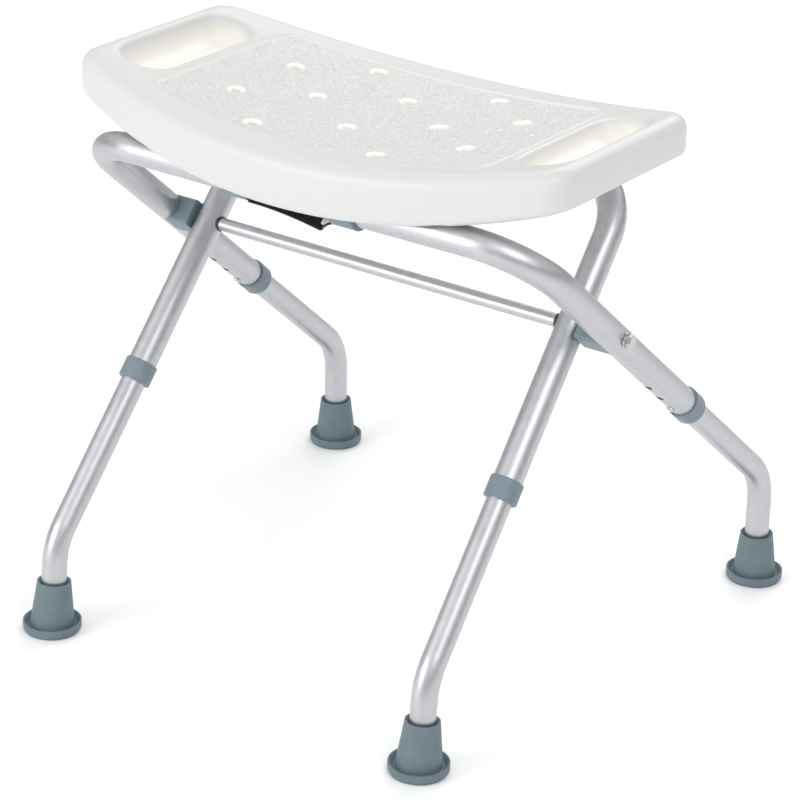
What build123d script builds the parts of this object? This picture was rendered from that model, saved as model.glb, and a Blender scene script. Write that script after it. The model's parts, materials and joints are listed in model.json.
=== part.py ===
from build123d import *
from math import cos, radians, sin, sqrt
import os

# Folding shower stool. Millimetres, +Z up, +X to the sitter's left-to-right, -Y is the front.
# The origin is on the floor, under the middle of the four feet.

# ---- Driving dimensions -------------------------------------------------------------------
pivot_y = -28.1          # scissor axis, along X
pivot_z = 326.0
upper_od = 25.4          # the two U-shaped frames, 1 in tube
upper_wall = 1.3
lower_od = 22.2          # telescoping legs, 7/8 in tube
lower_wall = 1.5
bar_od = 12.0            # cross bar on the scissor axis
bar_wall = 1.2
top_bar_z = 432.3        # axis of both top bars
top_bend = 60.0          # centre-line radius of the top bends
knee_bend = 55.0         # centre-line radius of the leg knees
hole_pitch = 25.4        # height adjustment, 1 in steps
hole_count = 3
button_r = 3.4
running = 0.05           # radial clearance of every running fit
soft_gap = 0.3           # gap round parts that only face each other

# One dictionary per frame: which way its legs run down, slope from the horizontal, half width at the
# pivot, outward splay per millimetre of leg, leg length from pivot to knee, how far the feet stand
# from the pivot, and where the collar, the snap button and the lower leg's top end sit on the leg.
outer = dict(side=1, slope=39.61, half=233.3, splay=0.0262, knee=345.9, foot_y=269.1,
             collar=(152.0, 170.0), button=138.0, top_end=118.0)
inner = dict(side=-1, slope=49.80, half=191.8, splay=0.0219, knee=320.5, foot_y=212.9,
             collar=(142.0, 160.5), button=128.0, top_end=108.0)

collar_wall = 1.9
collar_lip = 2.5         # the collar runs this far past the frame tube's end
button_play = 0.2
button_proud = 2.2       # dome height outside the frame tube
button_shank = 2.2       # shank length inside the lower leg
button_edge_r = 1.4
leaf = 0.7               # spring steel thickness
leaf_wid = 6.0

bolt_r = 3.0
bolt_head_h = 5.0
bolt_af = 11.0           # across flats of the hexagon head
bolt_grip = 16.0         # thread inside the cross bar's plug
washer_h = 1.0
washer_r = 7.0
washer_gap = 0.25        # the outer legs splay, so the flat washer stands off their round by this
bar_gap = 0.8            # dark ring between the cross bar's end and the inner leg
plug_len = 22.0
spacer_size = (27.0, 25.0)
spacer_gap = 0.9         # clears the splayed inner leg as it turns
spacer_saddle = 1.0      # how far the block runs past the outer leg's axis

seat_y = pivot_y - 16.0  # middle of the seat
seat_len = 498.0
seat_wid = 288.0         # at the middle of its length
seat_end_wid = 200.0     # at its two ends
seat_top_z = 474.0       # top at the middle
seat_top_rise = 31.0     # how much higher the two ends of the top are
seat_low_z = 428.6       # underside at the middle
seat_low_rise = 41.0     # how much higher the two ends of the underside are
seat_corner = 30.0
seat_skin = 3.2          # blow-moulded wall
edge_top_r = 12.0
edge_low_r = 5.0
seat_roof_z = top_bar_z + upper_od / 2 + soft_gap   # flat roof over both top bars
recess_half = 180.0      # half length of the recess for the top bars
recess_gap = 0.8
blow_pin_y = 25.0
blow_pin_r = 2.5
below_seat = 400.0       # cuts through the seat start here and run up
cut_reach = 140.0
edge_near = 6.0          # an edge this near a layer belongs to it
panel_depth = 1.4        # the textured sitting panel lies this far below the rim
panel_half = 168.0
panel_end = 95.0
panel_mid = 108.0
panel_corner = 16.0
drain_r = 4.6
drain_mouth_r = 7.2
drain_mouth_depth = 2.6
drain_spots = [(x * sx, y * sy) for x, y in ((118, 42), (63, 90)) for sx in (-1, 1) for sy in (-1, 1)]
drain_spots += [(-63, 0), (63, 0), (0, 44), (0, -44)]
pocket_x = 203.5         # middle of each hand-hold pocket
pocket_len = 150.0       # along Y
pocket_wid = 53.0        # along X
pocket_depth = 19.0
pocket_corner = 25.0
pocket_slope = 8.0       # the floor is this much smaller all round than the mouth
pocket_taper = 22.0
pocket_floor_r = 11.0

clip_x = 55.0            # the two hinge clips on the front top bar
clip_wid = 24.0
hook_x = 118.0           # the two hooks on the rear top bar
hook_wid = 24.0
clip_wall = 3.2
clip_behind = 31.0       # flange reach from the bar's axis
clip_seat_play = 0.3
screw_r = 2.0
screw_head_r = 3.6
screw_head_h = 2.2
screw_bite = 8.0
screw_back = 24.5        # from the bar's axis to the screws
screw_apart = 6.5        # from a clip's middle to its screws

strap_wid = 20.0
strap_thick = 1.6
strap_sag = 3.0
strap_low_x = 4.0        # where the strap hangs lowest

foot_r = 25.9
foot_rim_z = 9.0
foot_top_r = 15.0
foot_height = 46.0
foot_cone_r = 20.0       # cone at the flange
foot_edge_z = 3.0        # the sole tapers in below this
foot_edge = 1.6
foot_valley = 3.2        # depth of the dish inside the rim
foot_rim = 1.3
foot_plug_z = 8.0        # rubber under the steel washer
foot_washer_h = 1.6
tread_rings = 3
tread_pitch = 5.0
tread_depth = 0.9

os.makedirs("parts", exist_ok=True)
bore = upper_od / 2 - upper_wall


# ---- Frame geometry -----------------------------------------------------------------------
def leg_point(frame, hand, along, off=0.0):
    """Point on a leg's axis: along > 0 runs down from the pivot; off is square to the frame's plane."""
    slope = radians(frame["slope"])
    x = hand * (frame["half"] + frame["splay"] * along)
    y = pivot_y + frame["side"] * (cos(slope) * along + sin(slope) * off)
    return Vector(x, y, pivot_z - sin(slope) * along + cos(slope) * off)


def leg_axis(frame, hand):
    return (leg_point(frame, hand, 100) - leg_point(frame, hand, 0)).normalized()


def leg_square(frame):
    """Unit vector square to the frame's plane, pointing up."""
    return leg_point(frame, 1, 0, 1) - leg_point(frame, 1, 0, 0)


def leg_plane(frame, hand, along):
    """Plane across a leg, its normal pointing down the leg and its x axis out of the underside."""
    square = leg_square(frame)
    axis = leg_axis(frame, hand)
    under = (square - axis * square.dot(axis)).normalized() * -1
    return Plane(origin=leg_point(frame, hand, along), x_dir=under, z_dir=axis)


def top_along(frame):
    """Distance along the leg from the pivot up to the top bar's axis, as a positive number."""
    return (top_bar_z - pivot_z) / sin(radians(frame["slope"]))


def top_bar_y(frame):
    return leg_point(frame, 1, -top_along(frame)).Y


def foot_point(frame, hand):
    knee = leg_point(frame, hand, frame["knee"])
    return Vector(knee.X, pivot_y + frame["side"] * frame["foot_y"], 0)


def stub_axis(frame, hand):
    """Unit vector from the foot up to the knee."""
    return (leg_point(frame, hand, frame["knee"]) - foot_point(frame, hand)).normalized()


# ---- Tubes --------------------------------------------------------------------------------
def make_frame(frame, name):
    top = top_along(frame)
    low = frame["collar"][1] - collar_lip
    points = [
        leg_point(frame, -1, low),
        leg_point(frame, -1, -top),
        leg_point(frame, 1, -top),
        leg_point(frame, 1, low),
    ]
    with BuildPart() as tube:
        with BuildLine() as path:
            FilletPolyline(*points, radius=top_bend)
        with BuildSketch(leg_plane(frame, -1, low)):
            Circle(upper_od / 2)
            Circle(bore, mode=Mode.SUBTRACT)
        sweep(path=path.line)
        # pivot hole through both legs
        with BuildSketch(Plane(origin=(0, pivot_y, pivot_z), z_dir=(1, 0, 0))):
            Circle(bolt_r + running)
        extrude(amount=seat_len, both=True, mode=Mode.SUBTRACT)
        for hand in (-1, 1):
            for step in range(hole_count):
                plane = button_plane(frame, hand, frame["button"] - step * hole_pitch)
                with BuildSketch(plane):
                    Circle(button_r + button_play)
                extrude(amount=upper_od, mode=Mode.SUBTRACT)
    tube.part.label = name
    export_step(tube.part, f"parts/{name}.step")


def button_plane(frame, hand, along):
    """Plane through the leg's axis whose normal points out of the leg's underside."""
    across = leg_plane(frame, hand, along)
    return Plane(origin=across.origin, x_dir=across.z_dir, z_dir=across.x_dir)


def make_leg(frame, hand, name):
    foot = foot_point(frame, hand)
    stub = stub_axis(frame, hand)
    start = foot + stub * (foot_plug_z / stub.Z + foot_washer_h)
    points = [start, leg_point(frame, hand, frame["knee"]), leg_point(frame, hand, frame["top_end"])]
    with BuildPart() as leg:
        with BuildLine() as path:
            FilletPolyline(*points, radius=knee_bend)
        with BuildSketch(Plane(origin=start, z_dir=stub)):
            Circle(lower_od / 2)
            Circle(lower_od / 2 - lower_wall, mode=Mode.SUBTRACT)
        sweep(path=path.line)
        with BuildSketch(button_plane(frame, hand, frame["button"])):
            Circle(button_r + running)
        extrude(amount=upper_od, mode=Mode.SUBTRACT)
    leg.part.label = name
    export_step(leg.part, f"parts/{name}.step")


def make_collar(frame, hand, name):
    """Moulded collar: it grips the frame tube's end and steps down to guide the lower leg."""
    first, last = frame["collar"]
    tube_end = last - collar_lip
    with BuildPart() as collar:
        with BuildSketch(leg_plane(frame, hand, first)):
            Circle(upper_od / 2 + collar_wall)
        extrude(amount=last - first)
        chamfer(collar.edges().filter_by(GeomType.CIRCLE), length=collar_wall / 3)
        with BuildSketch(leg_plane(frame, hand, first)):
            Circle(upper_od / 2 + running)
        extrude(amount=tube_end - first, mode=Mode.SUBTRACT)
        with BuildSketch(leg_plane(frame, hand, first)):
            Circle(lower_od / 2 + 2 * running)
        extrude(amount=last - first + collar_lip, mode=Mode.SUBTRACT)
    collar.part.label = name
    export_step(collar.part, f"parts/{name}.step")


# ---- Snap buttons -------------------------------------------------------------------------
def make_button(frame, hand, name):
    """Domed steel button standing through the lower leg and the lowest frame hole."""
    plane = button_plane(frame, hand, frame["button"])
    inside = lower_od / 2 - lower_wall - button_shank
    with BuildPart() as button:
        with BuildSketch(plane.offset(inside)):
            Circle(button_r)
        extrude(amount=upper_od / 2 + button_proud - inside)
        dome = button.faces().sort_by(Axis(plane.origin, plane.z_dir))[-1]
        fillet(dome.edges(), radius=button_edge_r)
    button.part.label = name
    export_step(button.part, f"parts/{name}.step")


def make_spring(frame, hand, name):
    """Leaf spring folded to a V inside the lower leg, behind the button."""
    plane = button_plane(frame, hand, frame["button"])
    tip = lower_od / 2 - lower_wall - button_shank - soft_gap / 2
    pad = 4.5            # half length of the flat under the button
    nose = 18.0          # the fold lies this far along the leg
    local = Plane(origin=plane.origin, x_dir=plane.x_dir, z_dir=plane.y_dir * -1)
    with BuildPart() as spring:
        with BuildSketch(local):
            with BuildLine():
                outside = [(-pad, tip), (pad, tip), (nose, 1), (nose, -1), (pad, -tip), (-pad - 1.5, -tip)]
                inside = [(-pad - 1.5, leaf - tip), (pad - 0.3, leaf - tip), (nose - 1.1, -0.6),
                          (nose - 1.1, 0.6), (pad - 0.3, tip - leaf), (-pad, tip - leaf)]
                Polyline(*outside, *inside, close=True)
            make_face()
        extrude(amount=leaf_wid / 2, both=True)
    spring.part.label = name
    export_step(spring.part, f"parts/{name}.step")


# ---- Feet ---------------------------------------------------------------------------------
def make_foot(frame, hand, name):
    """Rubber foot: flared cone, dished flange with a raised rim, bored square to its leaning stub."""
    foot = foot_point(frame, hand)
    stub = stub_axis(frame, hand)
    top = foot + stub * foot_height
    with BuildPart() as rubber:
        with BuildSketch(Plane(origin=(foot.X, foot.Y, 0))):
            Circle(foot_r - foot_edge)
        with BuildSketch(Plane(origin=(foot.X, foot.Y, foot_edge_z))):
            Circle(foot_r)
        loft()
        with BuildSketch(Plane(origin=(foot.X, foot.Y, foot_edge_z))):
            Circle(foot_r)
        extrude(amount=foot_rim_z - foot_edge_z)
        with BuildSketch(Plane(origin=(foot.X, foot.Y, foot_rim_z - foot_valley))):
            Circle(foot_r - foot_rim - foot_valley)
        with BuildSketch(Plane(origin=(foot.X, foot.Y, foot_rim_z))):
            Circle(foot_r - foot_rim)
        loft(mode=Mode.SUBTRACT)
        with BuildSketch(Plane(origin=(foot.X, foot.Y, foot_rim_z - foot_valley - 0.8))):
            Circle(foot_cone_r)
        with BuildSketch(Plane(origin=top, z_dir=stub)):
            Circle(foot_top_r)
        loft()
        with BuildSketch(Plane(origin=foot + stub * (foot_plug_z / stub.Z), z_dir=stub)):
            Circle(lower_od / 2)
        extrude(amount=foot_height, mode=Mode.SUBTRACT)
        # bell mouth, open a little past the top face
        with BuildSketch(Plane(origin=top - stub * (foot_top_r / 5), z_dir=stub)):
            Circle(lower_od / 2)
        with BuildSketch(Plane(origin=top + stub * 0.01, z_dir=stub)):
            Circle(foot_top_r - foot_rim)
        loft(mode=Mode.SUBTRACT)
        for ring in range(1, tread_rings + 1):
            with BuildSketch(Plane(origin=(foot.X, foot.Y, 0))):
                Circle(tread_pitch * (ring + 0.9))
                Circle(tread_pitch * (ring + 0.5), mode=Mode.SUBTRACT)
            extrude(amount=tread_depth, mode=Mode.SUBTRACT)
    rubber.part.label = name
    export_step(rubber.part, f"parts/{name}.step")


def make_foot_washer(frame, hand, name):
    foot = foot_point(frame, hand)
    stub = stub_axis(frame, hand)
    with BuildPart() as washer:
        with BuildSketch(Plane(origin=foot + stub * (foot_plug_z / stub.Z), z_dir=stub)):
            Circle(lower_od / 2 - soft_gap)
        extrude(amount=foot_washer_h)
    washer.part.label = name
    export_step(washer.part, f"parts/{name}.step")


# ---- Scissor pivot ------------------------------------------------------------------------
def pivot_plane(x, hand):
    return Plane(origin=(x, pivot_y, pivot_z), x_dir=(0, 1, 0), z_dir=(hand, 0, 0))


def make_cross_bar():
    with BuildPart() as bar:
        with BuildSketch(pivot_plane(-bar_end, 1)):
            Circle(bar_od / 2)
            Circle(bar_od / 2 - bar_wall, mode=Mode.SUBTRACT)
        extrude(amount=2 * bar_end)
    bar.part.label = "cross_bar"
    export_step(bar.part, "parts/cross_bar.step")


def make_bar_end(hand, name):
    """Threaded plug pressed into the cross bar's end."""
    with BuildPart() as plug:
        with BuildSketch(pivot_plane(hand * (bar_end - plug_len), hand)):
            Circle(bar_od / 2 - bar_wall)
            Circle(bolt_r, mode=Mode.SUBTRACT)
        extrude(amount=plug_len)
    plug.part.label = name
    export_step(plug.part, f"parts/{name}.step")


def make_bar_ring(hand, name):
    """Thin dark ring between the cross bar's end and the round side of the inner leg."""
    with BuildPart() as ring:
        with BuildSketch(pivot_plane(hand * bar_end, hand)):
            Circle(bar_od / 2 + bar_gap)
            Circle(bolt_r + running, mode=Mode.SUBTRACT)
        extrude(amount=5 * bar_gap)
        add(leg_solid(inner, hand, upper_od / 2), mode=Mode.SUBTRACT)
    ring.part.label = name
    export_step(ring.part, f"parts/{name}.step")


def leg_solid(frame, hand, radius):
    """Plain rod along a leg near the pivot, used to cut the leg's round out of its neighbours."""
    with BuildPart() as rod:
        with BuildSketch(leg_plane(frame, hand, -top_bend)):
            Circle(radius)
        extrude(amount=2 * top_bend)
    return rod.part


def make_spacer(hand, name):
    """Moulded block between the crossing legs: it saddles the outer leg and faces the inner one."""
    inner_face = inner["half"] + upper_od / 2 + spacer_gap
    along = leg_axis(outer, hand)
    flat = Vector(0, along.Y, along.Z).normalized()
    face = Plane(origin=(hand * inner_face, pivot_y, pivot_z), x_dir=flat, z_dir=(hand, 0, 0))
    with BuildPart() as spacer:
        with BuildSketch(face):
            RectangleRounded(*spacer_size, spacer_size[0] / 10)
        extrude(amount=outer["half"] - inner_face + spacer_saddle)
        add(leg_solid(outer, hand, upper_od / 2), mode=Mode.SUBTRACT)
        with BuildSketch(pivot_plane(0, hand)):
            Circle(bolt_r + running)
        extrude(amount=seat_len, mode=Mode.SUBTRACT)
    spacer.part.label = name
    export_step(spacer.part, f"parts/{name}.step")


def make_bolt(hand, name):
    outside = outer["half"] + upper_od / 2 + washer_gap + washer_h
    tip = bar_end - bolt_grip
    with BuildPart() as bolt:
        with BuildSketch(pivot_plane(hand * tip, hand)):
            Circle(bolt_r)
        extrude(amount=outside - tip)
        with BuildSketch(pivot_plane(hand * outside, hand)):
            RegularPolygon(bolt_af / 2, 6, major_radius=False)
        extrude(amount=bolt_head_h)
        head = bolt.faces().sort_by(Axis.X)[-1 if hand > 0 else 0]
        chamfer(head.edges(), length=0.6)
    bolt.part.label = name
    export_step(bolt.part, f"parts/{name}.step")


def make_washer(hand, name):
    outside = outer["half"] + upper_od / 2 + washer_gap
    with BuildPart() as washer:
        with BuildSketch(pivot_plane(hand * outside, hand)):
            Circle(washer_r)
            Circle(bolt_r, mode=Mode.SUBTRACT)
        extrude(amount=washer_h)
    washer.part.label = name
    export_step(washer.part, f"parts/{name}.step")


# ---- Seat ---------------------------------------------------------------------------------
def arc_radius(half_chord, rise):
    return (half_chord**2 + rise**2) / (2 * rise)


def arc_rise(x, half_chord, rise):
    radius = arc_radius(half_chord, rise)
    return radius - sqrt(radius**2 - x**2)


def top_z(x):
    return seat_top_z + arc_rise(x, seat_len / 2, seat_top_rise)


def barrel(half, end, mid):
    """Barrel-shaped plan: straight ends, bowed long sides."""
    with BuildSketch() as plan:
        with BuildLine():
            ThreePointArc((-half, -end), (0, -mid), (half, -end))
            Line((half, -end), (half, end))
            ThreePointArc((half, end), (0, mid), (-half, end))
            Line((-half, end), (-half, -end))
        make_face()
    return plan.sketch


def seat_side(low, low_rise, high, high_rise):
    """Side view of a layer of the seat, bent up towards both ends."""
    half = seat_len / 2
    reach = half + 6
    low_end = low + arc_rise(reach, half, low_rise)
    high_end = high + arc_rise(reach, half, high_rise)
    with BuildSketch(Plane.XZ.offset(-seat_y)) as side:
        with BuildLine():
            ThreePointArc((-reach, low_end), (0, low), (reach, low_end))
            Line((reach, low_end), (reach, high_end))
            ThreePointArc((reach, high_end), (0, high), (-reach, high_end))
            Line((-reach, high_end), (-reach, low_end))
        make_face()
    return side.sketch


def slab(plan, corner, side):
    """Bent slab: a plan cut through a side view."""
    with BuildPart() as bent:
        with BuildSketch(Plane((0, seat_y, below_seat))):
            add(plan)
        extrude(amount=cut_reach)
        fillet(bent.edges().filter_by(Axis.Z), radius=corner)
        extrude(side, amount=seat_wid, both=True, mode=Mode.INTERSECT)
    return bent.part


def pocket(grow):
    """Hand-hold scoops, as solids to cut; grow thickens them into the walls round a scoop."""
    floor_z = top_z(pocket_x) - pocket_depth
    shrink = 2 * (pocket_slope - grow)
    with BuildPart() as holds:
        for hand in (-1, 1):
            with BuildSketch(Plane((hand * pocket_x, seat_y, floor_z - grow))):
                RectangleRounded(pocket_wid - shrink, pocket_len - shrink, pocket_corner - shrink / 2)
            extrude(amount=3 * pocket_depth, taper=-pocket_taper)
        if grow == 0:
            fillet(holds.faces().group_by(Axis.Z)[0].edges(), radius=pocket_floor_r)
    return holds.part


def recess(grow):
    """Flat-roofed recess under the seat for the two top bars, with a shallow seat for each clip."""
    front = front_bar_y - upper_od / 2 - recess_gap
    rear = rear_bar_y + upper_od / 2 + recess_gap
    with BuildPart() as hollow:
        with BuildSketch(Plane((0, (front + rear) / 2, below_seat))):
            Rectangle(2 * (recess_half + grow), rear - front + 2 * grow)
        extrude(amount=seat_roof_z - below_seat + grow)
        for x, y, ahead, behind in clip_seats:
            with BuildSketch(Plane((x, y + (behind - ahead) / 2, below_seat))):
                Rectangle(clip_wid + 2 * clip_seat_play + 2 * grow, ahead + behind + 2 * grow)
            extrude(amount=seat_roof_z + clip_wall - below_seat + grow)
    return hollow.part


def drains(radius, mouth):
    with BuildPart() as holes:
        with BuildSketch(Plane((0, seat_y, below_seat))):
            with Locations(*drain_spots):
                Circle(radius)
        extrude(amount=cut_reach)
        if mouth:
            for x, y in drain_spots:
                top = top_z(x) - panel_depth
                with BuildSketch(Plane((x, seat_y + y, top - drain_mouth_depth))):
                    Circle(radius)
                with BuildSketch(Plane((x, seat_y + y, top + drain_mouth_depth / 2))):
                    Circle(mouth)
                loft()
    return holes.part


def make_seat():
    skin = seat_skin
    half, end, mid = seat_len / 2, seat_end_wid / 2, seat_wid / 2
    outside = slab(barrel(half, end, mid), seat_corner,
                   seat_side(seat_low_z, seat_low_rise, seat_top_z, seat_top_rise))
    inside = slab(barrel(half - skin, end - skin, mid - skin), seat_corner - skin,
                  seat_side(seat_low_z + skin, seat_low_rise, seat_top_z - skin - panel_depth, seat_top_rise))
    panel = slab(barrel(panel_half, panel_end, panel_mid), panel_corner,
                 seat_side(seat_top_z - panel_depth, seat_top_rise, seat_top_z + seat_skin, seat_top_rise))
    with BuildPart() as cavity:
        add(inside)
        add(pocket(skin), mode=Mode.SUBTRACT)
        add(recess(skin), mode=Mode.SUBTRACT)
        add(drains(drain_r + skin, 0), mode=Mode.SUBTRACT)
        with BuildSketch(Plane.XY.offset(below_seat)):
            with Locations(*screw_spots):
                Circle(screw_r + skin)
        extrude(amount=cut_reach, mode=Mode.SUBTRACT)
    with BuildPart() as seat:
        add(outside)
        upper = seat.edges().filter_by(lambda e: e.center().Z > top_z(e.center().X) - edge_near)
        fillet(upper, radius=edge_top_r)
        lower = seat.edges().filter_by(lambda e: e.center().Z < edge_near + seat_low_z
                                       + arc_rise(e.center().X, seat_len / 2, seat_low_rise))
        fillet(lower, radius=edge_low_r)
        add(panel, mode=Mode.SUBTRACT)
        add(pocket(0), mode=Mode.SUBTRACT)
        add(recess(0), mode=Mode.SUBTRACT)
        add(drains(drain_r, drain_mouth_r), mode=Mode.SUBTRACT)
        add(cavity.part, mode=Mode.SUBTRACT)
        # blow-pin hole into the hollow
        with BuildSketch(Plane.XY.offset(below_seat)):
            with Locations((0, seat_y + blow_pin_y)):
                Circle(blow_pin_r)
        extrude(amount=seat_top_z - 4 * seat_skin - below_seat, mode=Mode.SUBTRACT)
        # screw pilots
        with BuildSketch(Plane.XY.offset(below_seat)):
            with Locations(*screw_spots):
                Circle(screw_r)
        extrude(amount=seat_roof_z + clip_wall + screw_bite - below_seat, mode=Mode.SUBTRACT)
    seat.part.label = "seat"
    export_step(seat.part, "parts/seat.step")


# ---- Seat fittings ------------------------------------------------------------------------
def make_hinge_clip(x, name):
    """Saddle clip that turns on the front top bar; two screws hold its rear flange to the seat."""
    top = seat_roof_z + clip_wall
    outside = upper_od / 2 + clip_wall
    side_view = Plane(origin=(x - clip_wid / 2, front_bar_y, top_bar_z), x_dir=(0, 1, 0), z_dir=(1, 0, 0))
    with BuildPart() as clip:
        with BuildSketch(side_view):
            Circle(outside)
            with Locations((-outside, 0)):
                Rectangle(outside + clip_behind - clip_seat_play, top - top_bar_z,
                          align=(Align.MIN, Align.MIN))
            with Locations((outside - clip_wall / 2, 0)):
                Rectangle(clip_behind, seat_roof_z - top_bar_z, align=(Align.MIN, Align.MIN),
                          mode=Mode.SUBTRACT)
            Circle(upper_od / 2 + running, mode=Mode.SUBTRACT)
        extrude(amount=clip_wid)
        with BuildSketch(Plane.XY.offset(top)):
            with Locations(*[(sx, sy) for sx, sy in screw_spots if abs(sx - x) < clip_wid / 2]):
                Circle(screw_r)
        extrude(amount=-clip_behind, mode=Mode.SUBTRACT)
    clip.part.label = name
    export_step(clip.part, f"parts/{name}.step")


def make_hook(x, name):
    """J-shaped hook screwed under the rear of the seat: open to the front, closed behind the rear bar."""
    top = seat_roof_z + clip_wall
    outside = upper_od / 2 + soft_gap + clip_wall
    inside = upper_od / 2 + soft_gap
    side_view = Plane(origin=(x - hook_wid / 2, rear_bar_y, top_bar_z), x_dir=(0, 1, 0), z_dir=(1, 0, 0))
    with BuildPart() as hook:
        with BuildSketch(side_view):
            Circle(outside)
            Rectangle(outside, top - top_bar_z, align=(Align.MIN, Align.MIN))
            with Locations((-clip_behind + clip_seat_play, seat_roof_z - top_bar_z)):
                Rectangle(clip_behind, clip_wall, align=(Align.MIN, Align.MIN))
            Circle(inside, mode=Mode.SUBTRACT)
            with Locations((0, seat_roof_z - top_bar_z)):
                Rectangle(2 * clip_behind, 2 * clip_behind, align=(Align.MAX, Align.MAX), mode=Mode.SUBTRACT)
        extrude(amount=hook_wid)
        with BuildSketch(Plane.XY.offset(top)):
            with Locations(*[(sx, sy) for sx, sy in screw_spots if abs(sx - x) < hook_wid / 2]):
                Circle(screw_r)
        extrude(amount=-clip_behind, mode=Mode.SUBTRACT)
    hook.part.label = name
    export_step(hook.part, f"parts/{name}.step")


def make_screws(spots, flange_z, name):
    """Pan-head screws through a clip's flange into the seat, one solid each."""
    with BuildPart() as screws:
        with BuildSketch(Plane.XY.offset(flange_z)):
            with Locations(*spots):
                Circle(screw_r)
        extrude(amount=seat_roof_z + clip_wall + screw_bite - flange_z)
        with BuildSketch(Plane.XY.offset(flange_z - screw_head_h)):
            with Locations(*spots):
                Circle(screw_head_r)
        extrude(amount=screw_head_h)
        fillet(screws.faces().group_by(Axis.Z)[0].edges(), radius=screw_head_h / 2)
    screws.part.label = name
    export_step(screws.part, f"parts/{name}.step")


# ---- Strap --------------------------------------------------------------------------------
def make_strap():
    """Webbing strap lying along the underside of the front top bar, between the hinge clips."""
    reach = clip_x - clip_wid / 2 - 1.0
    near = top_bar_z - upper_od / 2 - soft_gap
    far = near - strap_thick
    with BuildPart() as strap:
        with BuildSketch(Plane.XZ.offset(-(front_bar_y - strap_wid / 2))):
            with BuildLine():
                ThreePointArc((-reach, near), (strap_low_x, near - strap_sag), (reach, near))
                Line((reach, near), (reach, far))
                ThreePointArc((reach, far), (strap_low_x, far - strap_sag), (-reach, far))
                Line((-reach, far), (-reach, near))
            make_face()
        extrude(amount=-strap_wid)
    strap.part.label = "strap"
    export_step(strap.part, "parts/strap.step")


# ---- Build --------------------------------------------------------------------------------
front_bar_y = top_bar_y(outer)
rear_bar_y = top_bar_y(inner)
bar_end = inner["half"] - upper_od / 2 - bar_gap
around = upper_od / 2 + clip_wall + clip_seat_play
clip_seats = [(sx * clip_x, front_bar_y, around, clip_behind) for sx in (-1, 1)]
clip_seats += [(sx * hook_x, rear_bar_y, clip_behind, around + clip_seat_play) for sx in (-1, 1)]
apart = (-screw_apart, screw_apart)
clip_screws = [(sx * clip_x + dx, front_bar_y + screw_back) for sx in (-1, 1) for dx in apart]
hook_screws = [(sx * hook_x + dx, rear_bar_y - screw_back) for sx in (-1, 1) for dx in apart]
screw_spots = clip_screws + hook_screws

make_seat()
make_screws(clip_screws, seat_roof_z, "clip_screws")
make_screws(hook_screws, seat_roof_z, "hook_screws")
make_strap()
make_cross_bar()
make_frame(outer, "outer_frame")
make_frame(inner, "inner_frame")
for hand, side in ((-1, "left"), (1, "right")):
    make_hinge_clip(hand * clip_x, f"hinge_clip_{side}")
    make_hook(hand * hook_x, f"rear_hook_{side}")
    make_bar_end(hand, f"cross_bar_plug_{side}")
    make_bar_ring(hand, f"cross_bar_ring_{side}")
    make_spacer(hand, f"spacer_block_{side}")
    make_bolt(hand, f"pivot_bolt_{side}")
    make_washer(hand, f"pivot_washer_{side}")
    for frame, end in ((outer, "rear"), (inner, "front")):
        make_collar(frame, hand, f"{end}_{side}_collar")
        make_leg(frame, hand, f"{end}_{side}_leg")
        make_button(frame, hand, f"{end}_{side}_button")
        make_spring(frame, hand, f"{end}_{side}_spring")
        make_foot(frame, hand, f"{end}_{side}_foot")
        make_foot_washer(frame, hand, f"{end}_{side}_foot_washer")
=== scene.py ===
import json
import math

import bmesh
import bpy
import numpy as np
from mathutils import Matrix, Vector, noise
from mathutils.bvhtree import BVHTree


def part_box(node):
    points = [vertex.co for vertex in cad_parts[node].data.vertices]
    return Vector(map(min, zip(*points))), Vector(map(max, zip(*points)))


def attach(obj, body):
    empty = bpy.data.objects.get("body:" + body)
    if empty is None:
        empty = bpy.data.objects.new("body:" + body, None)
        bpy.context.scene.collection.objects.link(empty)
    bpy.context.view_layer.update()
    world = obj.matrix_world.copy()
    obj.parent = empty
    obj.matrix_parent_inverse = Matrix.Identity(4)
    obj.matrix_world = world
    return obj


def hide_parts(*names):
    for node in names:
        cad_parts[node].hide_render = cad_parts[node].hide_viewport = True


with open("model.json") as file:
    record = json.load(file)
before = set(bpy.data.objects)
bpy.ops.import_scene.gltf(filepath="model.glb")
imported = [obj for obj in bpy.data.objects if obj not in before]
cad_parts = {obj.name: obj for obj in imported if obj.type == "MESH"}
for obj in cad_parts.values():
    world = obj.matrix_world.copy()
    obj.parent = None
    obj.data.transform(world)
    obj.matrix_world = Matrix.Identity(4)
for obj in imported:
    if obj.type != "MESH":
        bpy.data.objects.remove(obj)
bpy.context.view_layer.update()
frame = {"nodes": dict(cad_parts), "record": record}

mm = 0.001


def srgb(code):
    # linear rgba from an sRGB hex code
    parts = [int(code[i:i + 2], 16) / 255 for i in (1, 3, 5)]
    linear = [c / 12.92 if c <= 0.04045 else ((c + 0.055) / 1.055) ** 2.4 for c in parts]
    return tuple(linear) + (1.0,)


def newMaterial(name, **sockets):
    mat = bpy.data.materials.new(name)
    mat.use_nodes = True
    shader = mat.node_tree.nodes["Principled BSDF"]
    for key, value in sockets.items():
        shader.inputs[key.replace("_", " ")].default_value = value
    return mat, shader


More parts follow.
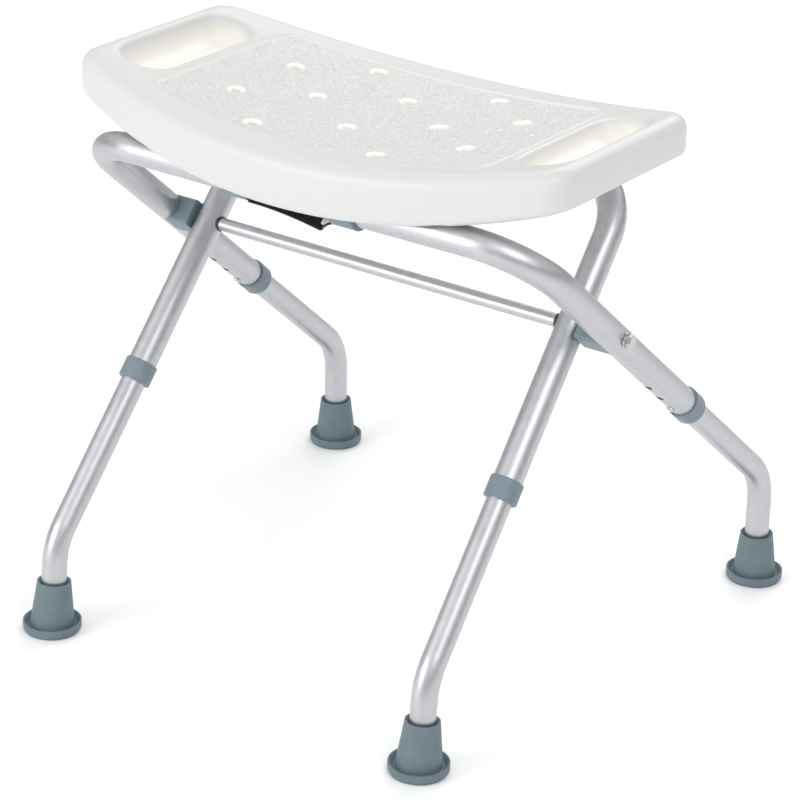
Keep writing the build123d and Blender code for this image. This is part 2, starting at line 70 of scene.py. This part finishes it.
def addNode(mat, kind, inputs=None, stops=None, feeds=None, **settings):
    # an input is a value or another node's output, stops are (place, colour or grey),
    # and feeds is the socket that takes the node's first output
    node = mat.node_tree.nodes.new(kind)
    for key, value in settings.items():
        setattr(node, key, value)
    for key, value in (inputs or {}).items():
        if isinstance(value, bpy.types.NodeSocket):
            mat.node_tree.links.new(value, node.inputs[key])
        else:
            node.inputs[key].default_value = value
    if stops:
        band = node.color_ramp
        while len(band.elements) < len(stops):
            band.elements.new(0.5)
        for element, (place, colour) in zip(band.elements, stops):
            element.position = place
            element.color = colour if isinstance(colour, tuple) else (colour, colour, colour, 1)
    if feeds:
        mat.node_tree.links.new(node.outputs[0], feeds)
    return node


def perMm(size):
    # texture scale for a pattern of that size in millimetres
    return 1 / (size * mm)


def wavePerMm(size):
    # the wave texture puts 20 bands in each unit of its scale
    return perMm(size) / 20


# metres and degrees; the lens and the sensor in mm
view = dict(x=1.4114, y=-2.04126, z=1.28736, yaw=34.625, pitch=-23.770, roll=1.866, lens=137.308,
            sensor=36, reach=50)


def makeCamera():
    cam = bpy.data.objects.new("camera", bpy.data.cameras.new("camera"))
    bpy.context.scene.collection.objects.link(cam)
    cam.data.lens = view["lens"]
    cam.data.sensor_width = view["sensor"]
    cam.data.clip_end = view["reach"]
    turn = (Matrix.Rotation(math.radians(view["yaw"]), 4, "Z")
            @ Matrix.Rotation(math.radians(90 + view["pitch"]), 4, "X")
            @ Matrix.Rotation(math.radians(view["roll"]), 4, "Z"))
    cam.matrix_world = Matrix.Translation((view["x"], view["y"], view["z"])) @ turn
    bpy.context.scene.camera = cam
    print("camera placed")


studio = dict(floor="#ffffff", floorSize=30, floorRough=0.6, paperMm=400, low="#d9dbde", wall="#8d9095",
              sky="#ffffff", wallFrom=0.1, skyFrom=0.4, strength=0.84, aim=(0, 0, 0.3))
# place and size in metres, power in watts
lamps = dict(
    key=dict(place=(1.9, -1.1, 2.3), size=(1.5, 1.5), power=19),
    fill=dict(place=(-1.2, -2.6, 1.1), size=(1.6, 1.6), power=30),
    rim=dict(place=(-0.5, 2.2, 2.1), size=(1.8, 0.8), power=18),
)


def makeLamp(name, place, size, power):
    lamp = bpy.data.lights.new(name, "AREA")
    lamp.shape = "RECTANGLE"
    lamp.size, lamp.size_y = size
    lamp.energy = power
    obj = bpy.data.objects.new(name, lamp)
    bpy.context.scene.collection.objects.link(obj)
    obj.location = place
    obj.rotation_euler = (Vector(studio["aim"]) - Vector(place)).to_track_quat("-Z", "Y").to_euler()


def makeStudio():
    # Standard keeps the white plastic and the white floor white
    bpy.context.scene.view_settings.view_transform = "Standard"
    world = bpy.data.worlds.new("softbox room")
    bpy.context.scene.world = world
    world.use_nodes = True
    back = world.node_tree.nodes["Background"]
    back.inputs["Strength"].default_value = studio["strength"]
    # white overhead, greyer walls: the tubes need both to look round
    where = addNode(world, "ShaderNodeTexCoord")
    split = addNode(world, "ShaderNodeSeparateXYZ", {"Vector": where.outputs["Generated"]})
    addNode(world, "ShaderNodeValToRGB", {"Fac": split.outputs["Z"]}, feeds=back.inputs["Color"],
            stops=[(0.0, srgb(studio["low"])), (studio["wallFrom"], srgb(studio["wall"])),
                   (studio["skyFrom"], srgb(studio["sky"])), (1.0, srgb(studio["sky"]))])
    bpy.ops.mesh.primitive_grid_add(x_subdivisions=2, y_subdivisions=2, size=studio["floorSize"],
                                    location=(0, 0, 0))
    floor = bpy.context.object
    floor.name = "floor"
    mat, shader = newMaterial("painted paper sweep", Base_Color=srgb(studio["floor"]),
                              Roughness=studio["floorRough"])
    cloud = addNode(mat, "ShaderNodeTexNoise", {"Scale": perMm(studio["paperMm"])})
    addNode(mat, "ShaderNodeValToRGB", {"Fac": cloud.outputs["Fac"]}, feeds=shader.inputs["Roughness"],
            stops=[(0.3, 0.58), (0.7, 0.62)])
    floor.data.materials.append(mat)
    for name, lamp in lamps.items():
        makeLamp(name, **lamp)
    print("studio lit")


tube = dict(base="#c5c6c9", dull="#c0c1c4", bright="#c9cacd", rough=(0.37, 0.44), cloudMm=9,
            gritMm=0.3, gritDeepMm=0.006)


def drawnAluminium():
    # 6063 tube, drawn and clear anodised: a soft satin, faintly clouded and slightly cool
    mat, shader = newMaterial("anodised aluminium drawn tube", Base_Color=srgb(tube["base"]), Metallic=1.0,
                              Roughness=0.4, Anisotropic=0.2)
    where = addNode(mat, "ShaderNodeTexCoord").outputs["Object"]
    cloud = addNode(mat, "ShaderNodeTexNoise", {"Vector": where, "Scale": perMm(tube["cloudMm"]),
                                                "Detail": 5})
    addNode(mat, "ShaderNodeValToRGB", {"Fac": cloud.outputs["Fac"]}, feeds=shader.inputs["Roughness"],
            stops=[(0.3, tube["rough"][0]), (0.7, tube["rough"][1])])
    addNode(mat, "ShaderNodeValToRGB", {"Fac": cloud.outputs["Fac"]}, feeds=shader.inputs["Base Color"],
            stops=[(0.25, srgb(tube["dull"])), (0.75, srgb(tube["bright"]))])
    # etched grain, drawn three times coarser than the real 0.1 mm so that it shows
    grit = addNode(mat, "ShaderNodeTexNoise", {"Vector": where, "Scale": perMm(tube["gritMm"]), "Detail": 2})
    addNode(mat, "ShaderNodeBump", {"Height": grit.outputs["Fac"], "Distance": tube["gritDeepMm"] * mm,
                                    "Strength": 0.6}, feeds=shader.inputs["Normal"])
    return mat


fittings = dict(colour="#c9c8c2", rough=0.22, marksMm=1.2, marksDeepMm=0.02)


def platedSteel():
    # nickel plated, turned and stamped: brighter and smoother than the tube, with faint tumbling marks
    rough = fittings["rough"]
    mat, shader = newMaterial("nickel plated steel turned", Base_Color=srgb(fittings["colour"]), Metallic=1.0,
                              Roughness=rough)
    where = addNode(mat, "ShaderNodeTexCoord").outputs["Object"]
    marks = addNode(mat, "ShaderNodeTexNoise", {"Vector": where, "Scale": perMm(fittings["marksMm"]),
                                                "Detail": 6})
    addNode(mat, "ShaderNodeValToRGB", {"Fac": marks.outputs["Fac"]}, feeds=shader.inputs["Roughness"],
            stops=[(0.35, rough * 0.7), (0.65, rough * 1.4)])
    addNode(mat, "ShaderNodeBump", {"Height": marks.outputs["Fac"], "Distance": fittings["marksDeepMm"] * mm,
                                    "Strength": 0.5}, feeds=shader.inputs["Normal"])
    return mat


# light and dark: the tone's two ends; grain: the mould's texture
footRubber = dict(light="#6b7d83", dark="#62747a", rough=0.55, flowMm=14, grainMm=0.7, grainDeepMm=0.06)
clipPlastic = dict(light="#7a8a93", dark="#71818a", rough=0.45, flowMm=14, grainMm=0.6, grainDeepMm=0.05)
ringPlastic = dict(light="#2b3033", dark="#222629", rough=0.5, flowMm=14, grainMm=0.6, grainDeepMm=0.05)


def mouldedPlastic(name, look):
    # injection or compression moulded: fine mould grain and a slight unevenness of tone, no gloss
    rough = look["rough"]
    mat, shader = newMaterial(name, Base_Color=srgb(look["light"]), Roughness=rough, IOR=1.49)
    where = addNode(mat, "ShaderNodeTexCoord").outputs["Object"]
    flow = addNode(mat, "ShaderNodeTexNoise", {"Vector": where, "Scale": perMm(look["flowMm"]), "Detail": 4})
    addNode(mat, "ShaderNodeValToRGB", {"Fac": flow.outputs["Fac"]}, feeds=shader.inputs["Base Color"],
            stops=[(0.3, srgb(look["dark"])), (0.7, srgb(look["light"]))])
    addNode(mat, "ShaderNodeValToRGB", {"Fac": flow.outputs["Fac"]}, feeds=shader.inputs["Roughness"],
            stops=[(0.3, rough * 0.9), (0.7, rough * 1.1)])
    grain = addNode(mat, "ShaderNodeTexNoise", {"Vector": where, "Scale": perMm(look["grainMm"]),
                                                "Detail": 3})
    addNode(mat, "ShaderNodeBump", {"Height": grain.outputs["Fac"], "Distance": look["grainDeepMm"] * mm,
                                    "Strength": 0.5}, feeds=shader.inputs["Normal"])
    return mat


# face: the open surface's own colour; edge: painted light where the surface turns in, and with pocket the
# painted highlight along the panel's edge; pocket and drain: painted light inside the pockets and the drain
# holes
skin = dict(base="#ececea", face="#d5d5d4", edge="#e6e4de", pocket="#f6f3ea", drain="#fbfaf5",
            rough=(0.38, 0.46), flowMm=30, peelMm=1.6, peelDeepMm=0.03)


def blownPolyethylene():
    # blow-moulded high-density polyethylene: waxy white, soft light inside it; painted light makes the pockets
    # and drain holes brighter and creamier, and a painted highlight runs along the panel's edge
    mat, shader = newMaterial("polyethylene blow moulded", Base_Color=srgb(skin["base"]), Roughness=0.42,
                              IOR=1.54, Subsurface_Weight=0.2, Subsurface_Scale=0.005)
    shader.inputs["Subsurface Radius"].default_value = (1.0, 0.9, 0.75)
    # the attribute read here carries painted light: brighter, creamier pockets and drain holes, and a painted
    # highlight along the panel's edge
    paintedLight = addNode(mat, "ShaderNodeAttribute", attribute_name="paintedLight")
    addNode(mat, "ShaderNodeValToRGB", {"Fac": paintedLight.outputs["Fac"]}, feeds=shader.inputs["Base Color"],
            stops=[(0.0, srgb(skin["face"])), (0.3, srgb(skin["edge"])),
                   (0.8, srgb(skin["pocket"])), (1.0, srgb(skin["drain"]))])
    where = addNode(mat, "ShaderNodeTexCoord").outputs["Object"]
    flow = addNode(mat, "ShaderNodeTexNoise", {"Vector": where, "Scale": perMm(skin["flowMm"]), "Detail": 5})
    addNode(mat, "ShaderNodeValToRGB", {"Fac": flow.outputs["Fac"]}, feeds=shader.inputs["Roughness"],
            stops=[(0.3, skin["rough"][0]), (0.7, skin["rough"][1])])
    # faint orange peel of the blown skin
    peel = addNode(mat, "ShaderNodeTexNoise", {"Vector": where, "Scale": perMm(skin["peelMm"]), "Detail": 3})
    addNode(mat, "ShaderNodeBump", {"Height": peel.outputs["Fac"], "Distance": skin["peelDeepMm"] * mm,
                                    "Strength": 0.5}, feeds=shader.inputs["Normal"])
    return mat


weave = dict(base="#0c0c0d", dark="#070708", light="#131416", ribMm=1.5, ribDeepMm=0.2)


def wovenNylon():
    # plain-woven nylon webbing: black, ribs across the strap every 1.5 mm, a dry sheen
    mat, shader = newMaterial("nylon webbing woven", Base_Color=srgb(weave["base"]), Roughness=0.7,
                              Sheen_Weight=0.05)
    where = addNode(mat, "ShaderNodeTexCoord").outputs["Object"]
    ribs = addNode(mat, "ShaderNodeTexWave", {"Vector": where, "Scale": wavePerMm(weave["ribMm"]),
                                              "Distortion": 0.4, "Detail": 2}, bands_direction="X")
    addNode(mat, "ShaderNodeValToRGB", {"Fac": ribs.outputs["Fac"]}, feeds=shader.inputs["Base Color"],
            stops=[(0.2, srgb(weave["dark"])), (0.8, srgb(weave["light"]))])
    addNode(mat, "ShaderNodeBump", {"Height": ribs.outputs["Fac"], "Distance": weave["ribDeepMm"] * mm,
                                    "Strength": 0.8}, feeds=shader.inputs["Normal"])
    return mat


tapeWeave = dict(base="#e6e7e8", dark="#d4d6d8", light="#f1f2f2", threadMm=0.8, threadDeepMm=0.1)


def whiteTape():
    # polyester tape, satin woven: bright, with a thread every 0.8 mm
    mat, shader = newMaterial("polyester tape woven", Base_Color=srgb(tapeWeave["base"]), Roughness=0.5,
                              Sheen_Weight=0.2)
    where = addNode(mat, "ShaderNodeTexCoord").outputs["Object"]
    threads = addNode(mat, "ShaderNodeTexWave",
                      {"Vector": where, "Scale": wavePerMm(tapeWeave["threadMm"])}, bands_direction="Y")
    addNode(mat, "ShaderNodeValToRGB", {"Fac": threads.outputs["Fac"]}, feeds=shader.inputs["Base Color"],
            stops=[(0.2, srgb(tapeWeave["dark"])), (0.8, srgb(tapeWeave["light"]))])
    addNode(mat, "ShaderNodeBump", {"Height": threads.outputs["Fac"],
                                    "Distance": tapeWeave["threadDeepMm"] * mm}, feeds=shader.inputs["Normal"])
    return mat


# one finish for each material slot of the CAD
finishes = {
    "seat_hdpe": blownPolyethylene(),
    "aluminium_tube": drawnAluminium(),
    "foot_rubber": mouldedPlastic("rubber compression moulded", footRubber),
    "blue_grey_plastic": mouldedPlastic("polypropylene injection moulded", clipPlastic),
    "dark_plastic": mouldedPlastic("nylon injection moulded", ringPlastic),
    "strap_webbing": wovenNylon(),
    "steel_fittings": platedSteel(),
}
print("finishes made")

seat = dict(
    voxel=1.7 * mm, quickFactor=2, weld=0.005 * mm, smoothRounds=16, roundsElsewhere=3,
    # where the rim's height is probed, and the blow-pin hole in the underside
    probeX=150 * mm, probeY=20 * mm, pinY=25 * mm, pinReach=3 * mm,
    # how near a point must lie to the top face to be split finer, or to be set on the true surface
    splitReach=2.2 * mm, splitOver=3 * mm, topReach=1.0 * mm, mouthReach=1 * mm,
    # sunk sitting panel, its soft step and the lip round it
    panelHalf=168 * mm, panelEnd=95 * mm, panelMid=108 * mm, panelCorner=16 * mm, panelDepth=1.4 * mm,
    edgeSoft=1.5 * mm, lip=0.75 * mm, lipOut=1.2 * mm, lipWide=1.3 * mm, lipReach=5 * mm,
    # painted highlight along the panel's edge: where it sits inside the outline, its width and its strength
    edgeHighlightIn=0.2 * mm, edgeHighlightWide=0.9 * mm, edgeHighlightTone=0.4,
    # grain: long and short are its ridges' length and spacing, cross is the finer set, which leans
    wrinkleLong=9 * mm, wrinkleShort=2.5 * mm, crossLong=6.4 * mm, crossShort=2.3 * mm, crossLean=0.35,
    wander=22 * mm, wanderBy=1.1, sharp=4.2, longShare=0.6, crossShare=0.5, wrinkleSink=0.3,
    wrinkleDepth=1.0 * mm, wrinkleFrom=0.4 * mm, wrinkleFade=2.5 * mm,
    # hand-hold pockets
    pocketX=203.5 * mm, pocketHalf=(26.5 * mm, 75 * mm), pocketRim=6 * mm, pocketReach=24 * mm,
    # painted light in the pockets: the depth where it starts, the depth over which it grows, how far out it
    # reaches and its strength
    hollowFrom=2.6 * mm, hollowDeep=16 * mm, hollowEnd=232 * mm, pocketLightTone=0.8,
    # drain holes, with a funnel at the mouth
    drain=4.6 * mm, drainWall=6.4 * mm, drainCore=2 * mm, drainBelow=1.2 * mm, drainMouth=7.8 * mm,
    # the last value of this line sets the strength of the painted light in the drain holes
    drainDeep=2.4 * mm, drainFlare=1.7, drainPlain=5 * mm, drainReach=30 * mm, drainLightTone=0.9,
)
# eight drains in two mirrored sets, and four on the seat's two middle lines
drainSpots = [(x * sx * mm, y * sy * mm)
              for x, y in ((118, 42), (63, 90)) for sx in (-1, 1) for sy in (-1, 1)]
drainSpots += [(-63 * mm, 0), (63 * mm, 0), (0, 44 * mm), (0, -44 * mm)]


def panelDistance(x, y):
    # how far inside the panel's outline a point lies, negative outside
    half, end, mid, corner = (seat[k] for k in ("panelHalf", "panelEnd", "panelMid", "panelCorner"))
    rise = mid - end
    radius = (half ** 2 + rise ** 2) / (2 * rise)
    side = radius - np.hypot(np.abs(x), np.abs(y) + radius - mid)
    tip = half - np.abs(x)
    both = (side < corner) & (tip < corner)
    return np.where(both, corner - np.hypot(corner - side, corner - tip), np.minimum(side, tip))


def closedShell(mesh, centre):
    # the outer skin of the hollow seat, its blow-pin hole capped
    work = bmesh.new()
    work.from_mesh(mesh)
    bmesh.ops.remove_doubles(work, verts=work.verts, dist=seat["weld"])
    pin = []
    for face in work.faces:
        spot = face.calc_center_median()
        near = math.hypot(spot.x, spot.y - centre - seat["pinY"]) < seat["pinReach"]
        if near and abs(face.normal.z) < 0.5:
            pin.append(face)
    bmesh.ops.delete(work, geom=pin, context="FACES")
    # everything that hangs together with the outermost vertex is the outer skin
    start = max(work.verts, key=lambda v: v.co.x)
    seen, stack = {start}, [start]
    while stack:
        for edge in stack.pop().link_edges:
            for v in edge.verts:
                if v not in seen:
                    seen.add(v)
                    stack.append(v)
    bmesh.ops.delete(work, geom=[v for v in work.verts if v not in seen], context="VERTS")
    bmesh.ops.holes_fill(work, edges=[e for e in work.edges if e.is_boundary], sides=0)
    out = bpy.data.meshes.new("seat shell")
    work.to_mesh(out)
    work.free()
    return out


def wrinkle(x, y):
    # leathery grain of the sitting panel: short wandering ridges that run along the seat
    wander = noise.noise(Vector((x / seat["wander"], y / seat["wander"], 3.1))) * seat["wanderBy"]
    ridge = noise.noise(Vector((x / seat["wrinkleLong"] + wander, y / seat["wrinkleShort"] + wander, 0.0)))
    lean = seat["crossLean"] * x / seat["crossLong"]
    cross = noise.noise(Vector((x / seat["crossLong"] - wander, y / seat["crossShort"] + lean, 7.7)))
    return (max(0, 1 - seat["sharp"] * abs(ridge)) * seat["longShare"]
            + max(0, 1 - seat["sharp"] * abs(cross)) * seat["crossShare"] - seat["wrinkleSink"])


def seatCrown(node, centre):
    # the rim's height at the middle of the seat, and the radius that it bends to
    tree = BVHTree.FromPolygons([v.co for v in node.data.vertices], [p.vertices for p in node.data.polygons])
    down = Vector((0, 0, -1))
    out = seat["probeX"]
    heights = [tree.ray_cast(Vector((x, centre + seat["probeY"], 1)), down)[0].z for x in (0, out)]
    middle, end = (h + seat["panelDepth"] for h in heights)
    rise = end - middle
    return middle, (out ** 2 + rise ** 2) / (2 * rise)


def rimHeight(co, crown):
    middle, bend = crown
    return middle + bend - np.sqrt(bend ** 2 - co[:, 0] ** 2)


def meshPoints(mesh):
    co = np.empty(len(mesh.vertices) * 3)
    mesh.vertices.foreach_get("co", co)
    return co.reshape(-1, 3)


def splitPanel(mesh, centre, crown):
    # finer quads on the panel, so that the grain is real geometry; gives the ends of every edge
    co = meshPoints(mesh)
    onTop = np.abs(co[:, 2] - rimHeight(co, crown) + seat["panelDepth"] / 2) < seat["splitReach"]
    inside = (panelDistance(co[:, 0], co[:, 1] - centre) > -seat["splitOver"]) & onTop
    work = bmesh.new()
    work.from_mesh(mesh)
    work.verts.ensure_lookup_table()
    edges = [e for e in work.edges if inside[e.verts[0].index] and inside[e.verts[1].index]]
    bmesh.ops.subdivide_edges(work, edges=edges, cuts=1, use_grid_fill=True)
    work.to_mesh(mesh)
    work.verts.ensure_lookup_table()
    pairs = np.array([[e.verts[0].index, e.verts[1].index] for e in work.edges])
    work.free()
    return pairs


def softened(co, pairs, nearPocket):
    # takes the voxel steps out everywhere, with most rounds at the pocket mouths
    count = np.bincount(pairs.ravel(), minlength=len(co))[:, None]
    for turn in range(seat["smoothRounds"]):
        total = np.zeros_like(co)
        for k in range(3):
            total[:, k] = (np.bincount(pairs[:, 0], co[pairs[:, 1], k], len(co))
                           + np.bincount(pairs[:, 1], co[pairs[:, 0], k], len(co)))
        elsewhere = 0.5 if turn < seat["roundsElsewhere"] else 0.0
        co = co + (total / count - co) * np.where(nearPocket, 0.5, elsewhere)[:, None]
    return co


def sculptTop(co, centre, crown, nearPocket):
    # true top surface, the panel's step, lip and grain, and the drains; gives each point's painted light: in
    # the pockets and drain holes, and a painted highlight along the panel's edge
    top = rimHeight(co, crown)
    deep = panelDistance(co[:, 0], co[:, 1] - centre)
    flat = np.abs(co[:, 2] - top + seat["panelDepth"] / 2) < seat["topReach"]
    near = flat & (deep > -seat["lipReach"])
    step = np.clip(deep / seat["edgeSoft"] * 0.5 + 0.5, 0, 1)
    step = step * step * (3 - 2 * step)
    lip = np.exp(-((deep + seat["lipOut"]) / seat["lipWide"]) ** 2) * seat["lip"]
    grain = np.zeros(len(co))
    for i in np.nonzero(near & (deep > seat["wrinkleFrom"]))[0]:
        grain[i] = wrinkle(co[i, 0], co[i, 1]) * seat["wrinkleDepth"]
    fade = np.clip(deep / seat["wrinkleFade"], 0, 1)
    funnel = np.zeros(len(co))
    inDrain = np.zeros(len(co))
    floorOfPanel = top - seat["panelDepth"]
    for x, y in drainSpots:
        dx, dy = co[:, 0] - x, co[:, 1] - centre - y
        far = np.hypot(dx, dy)
        # the hole's wall goes back to its true radius
        wall = ((far < seat["drainWall"]) & (far > seat["drainCore"])
                & (co[:, 2] < floorOfPanel - seat["drainBelow"]))
        scale = seat["drain"] / np.maximum(far, 1e-6)
        co[wall, 0] = (x + dx * scale)[wall]
        co[wall, 1] = (centre + y + dy * scale)[wall]
        share = np.clip((seat["drainMouth"] - far) / (seat["drainMouth"] - seat["drain"]), 0, 1)
        funnel = np.maximum(funnel, share ** seat["drainFlare"] * seat["drainDeep"])
        fade = fade * np.clip((far - seat["drain"]) / seat["drainPlain"], 0, 1)
        inDrain = np.maximum(inDrain, (far < seat["drainMouth"]) & (co[:, 2] > top - seat["drainReach"]))
    mouth = (funnel > 0) & (co[:, 2] > floorOfPanel - seat["drainDeep"] - seat["mouthReach"]) & (deep > 0)
    near = near | mouth
    co[near, 2] = (top - seat["panelDepth"] * step + lip + grain * fade - funnel)[near]
    # painted light in the pockets, brighter the deeper a point lies below the top
    paintedLight = np.clip((top - co[:, 2] - seat["hollowFrom"]) / seat["hollowDeep"], 0, 1)
    paintedLight = paintedLight * (np.abs(co[:, 0]) < seat["hollowEnd"])
    # painted highlight along the panel's edge, where the lip would catch the light
    edgeHighlight = np.exp(-((deep - seat["edgeHighlightIn"]) / seat["edgeHighlightWide"]) ** 2) * near
    # painted light in the drain holes, and the brighter of the two
    toned = np.maximum(paintedLight * nearPocket * seat["pocketLightTone"], inDrain * seat["drainLightTone"])
    return np.maximum(toned, edgeHighlight * seat["edgeHighlightTone"])


def makeSeat():
    node = frame["nodes"]["seat"]
    low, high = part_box("seat")
    centre = (low[1] + high[1]) / 2
    crown = seatCrown(node, centre)
    piece = bpy.data.objects.new("seat skin", closedShell(node.data, centre))
    bpy.context.scene.collection.objects.link(piece)
    remesh = piece.modifiers.new("even", "REMESH")
    remesh.mode = "VOXEL"
    remesh.voxel_size = seat["voxel"] * 1
    fine = bpy.data.meshes.new_from_object(piece.evaluated_get(bpy.context.evaluated_depsgraph_get()))
    piece.modifiers.clear()
    pairs = splitPanel(fine, centre, crown)
    co = meshPoints(fine)
    px, py = seat["pocketHalf"]
    rim = seat["pocketRim"]
    nearPocket = ((np.abs(np.abs(co[:, 0]) - seat["pocketX"]) < px + rim)
                  & (np.abs(co[:, 1] - centre) < py + rim)
                  & (co[:, 2] > rimHeight(co, crown) - seat["pocketReach"]))
    co = softened(co, pairs, nearPocket)
    paintedLight = sculptTop(co, centre, crown, nearPocket)
    fine.vertices.foreach_set("co", co.ravel())
    # the painted light goes to the material as a point attribute
    layer = fine.attributes.new("paintedLight", "FLOAT", "POINT")
    layer.data.foreach_set("value", paintedLight)
    fine.polygons.foreach_set("use_smooth", [True] * len(fine.polygons))
    fine.materials.clear()
    fine.materials.append(finishes["seat_hdpe"])
    fine.name = "seat skin"
    piece.data = fine
    piece.name = "seat_skin"
    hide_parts("seat")
    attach(piece, "seat")
    print("seat:", len(fine.vertices), "vertices")


# sag: the hang at lowAt, a share of the length; along and across: rows of the mesh
strap = dict(width=20 * mm, thick=1.2 * mm, sag=5.5 * mm, lowAt=0.88, sagPower=2.2, lean=30, across=16,
             along=110, rib=0.07 * mm, ribTurn=2.1, curl=0.6 * mm)
# pale tape folded over the strap's slack beside the right clip
tape = dict(begin=0.82, length=12 * mm, wide=0.9, thick=0.5 * mm, lift=0.6 * mm, drop=3.2 * mm, lean=38,
            forward=2 * mm, along=24, across=12)


def strapCurve(t):
    # how far the strap hangs and how much it turns, from its left end at 0 to its right end at 1
    low = strap["lowAt"]
    share = t / low if t < low else (1 - t) / (1 - low)
    return strap["sag"] * share ** strap["sagPower"], math.radians(strap["lean"]) * share ** 2


def ribbon(name, start, length, width, thick, rows, columns, centre, curve, finish):
    # a woven band laid along X; curve gives its drop and its turn at each share of the length
    verts, faces = [], []
    for i in range(rows + 1):
        t = i / rows
        hang, turn = curve(t)
        for j in range(columns + 1):
            s = (j / columns - 0.5) * width
            rib = strap["rib"] * math.sin(i * strap["ribTurn"]) * (-1) ** j
            curl = strap["curl"] * (2 * s / width) ** 2
            verts.append((start + length * t, centre[0] + s * math.cos(turn),
                          centre[1] - hang + s * math.sin(turn) * 0.5 + curl + rib))
    row = columns + 1
    for i in range(rows):
        for j in range(columns):
            a = i * row + j
            faces.append((a, a + row, a + row + 1, a + 1))
    mesh = bpy.data.meshes.new(name)
    mesh.from_pydata(verts, [], faces)
    mesh.polygons.foreach_set("use_smooth", [True] * len(mesh.polygons))
    mesh.materials.append(finish)
    piece = bpy.data.objects.new(name, mesh)
    bpy.context.scene.collection.objects.link(piece)
    solid = piece.modifiers.new("thickness", "SOLIDIFY")
    solid.thickness = thick
    solid.offset = 0
    return piece


def makeStrap():
    low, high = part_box("strap")
    length = high[0] - low[0]
    centre = ((low[1] + high[1]) / 2, high[2] - strap["thick"])
    webbing = ribbon("strap_webbing", low[0], length, strap["width"], strap["thick"], strap["along"],
                     strap["across"], centre, strapCurve, finishes["strap_webbing"])
    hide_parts("strap")
    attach(webbing, "outer_frame")

    def tapeCurve(t):
        hang, turn = strapCurve(tape["begin"] + t * tape["length"] / length)
        return hang + tape["lift"] - tape["drop"] * t, turn + math.radians(tape["lean"])

    fold = ribbon("strap_tape", low[0] + length * tape["begin"], tape["length"],
                  strap["width"] * tape["wide"], tape["thick"], tape["along"], tape["across"],
                  (centre[0] - tape["forward"], centre[1]), tapeCurve, whiteTape())
    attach(fold, "outer_frame")
    print("strap hung")


makeCamera()
makeStudio()
slots = {part["node"]: part["material_slot"] for part in frame["record"]["subparts"]}
for name, node in frame["nodes"].items():
    node.data.materials.clear()
    node.data.materials.append(finishes[slots[name]])
print("materials on the CAD pieces")
makeSeat()
makeStrap()
